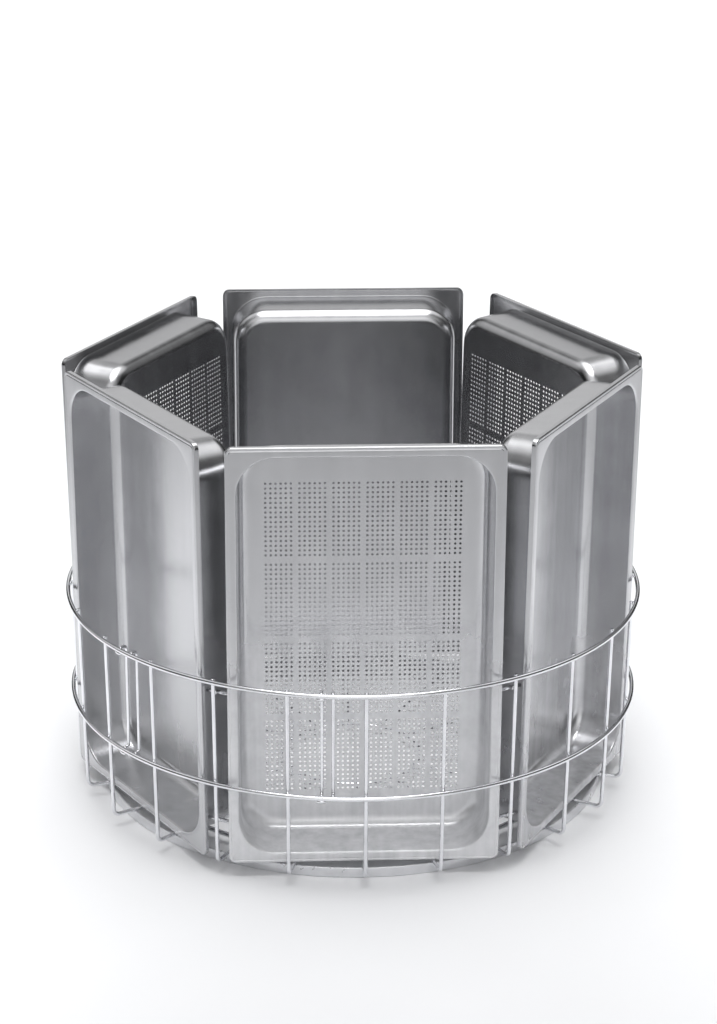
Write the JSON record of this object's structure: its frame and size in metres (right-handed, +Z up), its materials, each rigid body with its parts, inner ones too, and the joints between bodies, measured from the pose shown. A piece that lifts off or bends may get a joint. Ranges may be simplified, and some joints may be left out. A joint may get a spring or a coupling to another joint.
{
  "type": "wire wash basket loaded with gastronorm pans",
  "caption": "Round stainless wire basket for a pot washer, carrying gastronorm pans that stand on end round it and lift out.",
  "frame": {"origin": "on the floor under the middle of the basket, at the underside of the base band", "axes": "+Z up, -Y towards the front perforated pan, +X to the right seen from the front"},
  "size_m": [0.7323, 0.7324, 0.5479],
  "materials": {
    "basket_wire": "bright drawn and electropolished wire",
    "base_band": "rolled flat bar, satin",
    "plain_pan": "pressed sheet, satin with polished bends",
    "perforated_pan": "pressed perforated sheet, satin with polished bends"
  },
  "bodies": {
    "basket": {"upper_hoop": "basket_wire", "middle_hoop": "basket_wire", "base_band": "base_band", "inner_floor_hoop": "basket_wire", "hub_ring": "basket_wire", "upright_wire_01": "basket_wire", "upright_wire_02": "basket_wire", "upright_wire_03": "basket_wire", "upright_wire_04": "basket_wire", "upright_wire_05": "basket_wire", "upright_wire_06": "basket_wire", "upright_wire_07": "basket_wire", "upright_wire_08": "basket_wire", "upright_wire_09": "basket_wire", "upright_wire_10": "basket_wire", "upright_wire_11": "basket_wire", "upright_wire_12": "basket_wire", "upright_wire_13": "basket_wire", "upright_wire_14": "basket_wire", "upright_wire_15": "basket_wire", "upright_wire_16": "basket_wire", "upright_wire_17": "basket_wire", "upright_wire_18": "basket_wire", "upright_wire_19": "basket_wire", "upright_wire_20": "basket_wire", "upright_wire_21": "basket_wire", "upright_wire_22": "basket_wire", "upright_wire_23": "basket_wire", "upright_wire_24": "basket_wire", "upper_rim_keeper_1": "basket_wire", "upper_rim_keeper_2": "basket_wire", "upper_rim_keeper_3": "basket_wire", "upper_rim_keeper_4": "basket_wire", "upper_rim_keeper_5": "basket_wire", "upper_rim_keeper_6": "basket_wire", "lower_rim_keeper_1": "basket_wire", "lower_rim_keeper_2": "basket_wire", "lower_rim_keeper_3": "basket_wire", "lower_rim_keeper_4": "basket_wire", "lower_rim_keeper_5": "basket_wire", "lower_rim_keeper_6": "basket_wire", "stay_wire_1": "basket_wire", "stay_wire_2": "basket_wire", "stay_wire_3": "basket_wire", "stay_wire_4": "basket_wire"},
    "front_perforated_pan_body": {"front_perforated_pan": "perforated_pan"},
    "front_right_pan_body": {"front_right_pan": "plain_pan"},
    "rear_right_perforated_pan_body": {"rear_right_perforated_pan": "perforated_pan"},
    "rear_pan_body": {"rear_pan": "plain_pan"},
    "rear_left_perforated_pan_body": {"rear_left_perforated_pan": "perforated_pan"},
    "front_left_pan_body": {"front_left_pan": "plain_pan"}
  },
  "joints": [
    {"name": "front_perforated_pan_lift", "type": "slide", "parent": "basket", "child": "front_perforated_pan_body", "axis": [0, 0, 1], "range_m": [0, 0.56]},
    {"name": "front_right_pan_lift", "type": "slide", "parent": "basket", "child": "front_right_pan_body", "axis": [0.0091, -0.0052, 0.9999], "range_m": [0, 0.56]},
    {"name": "rear_right_perforated_pan_lift", "type": "slide", "parent": "basket", "child": "rear_right_perforated_pan_body", "axis": [0.0196, 0.0113, 0.9997], "range_m": [0, 0.56]},
    {"name": "rear_pan_lift", "type": "slide", "parent": "basket", "child": "rear_pan_body", "axis": [0, 0.0227, 0.9997], "range_m": [0, 0.56]},
    {"name": "rear_left_perforated_pan_lift", "type": "slide", "parent": "basket", "child": "rear_left_perforated_pan_body", "axis": [-0.0196, 0.0113, 0.9997], "range_m": [0, 0.56]},
    {"name": "front_left_pan_lift", "type": "slide", "parent": "basket", "child": "front_left_pan_body", "axis": [-0.0091, -0.0052, 0.9999], "range_m": [0, 0.56]}
  ]
}
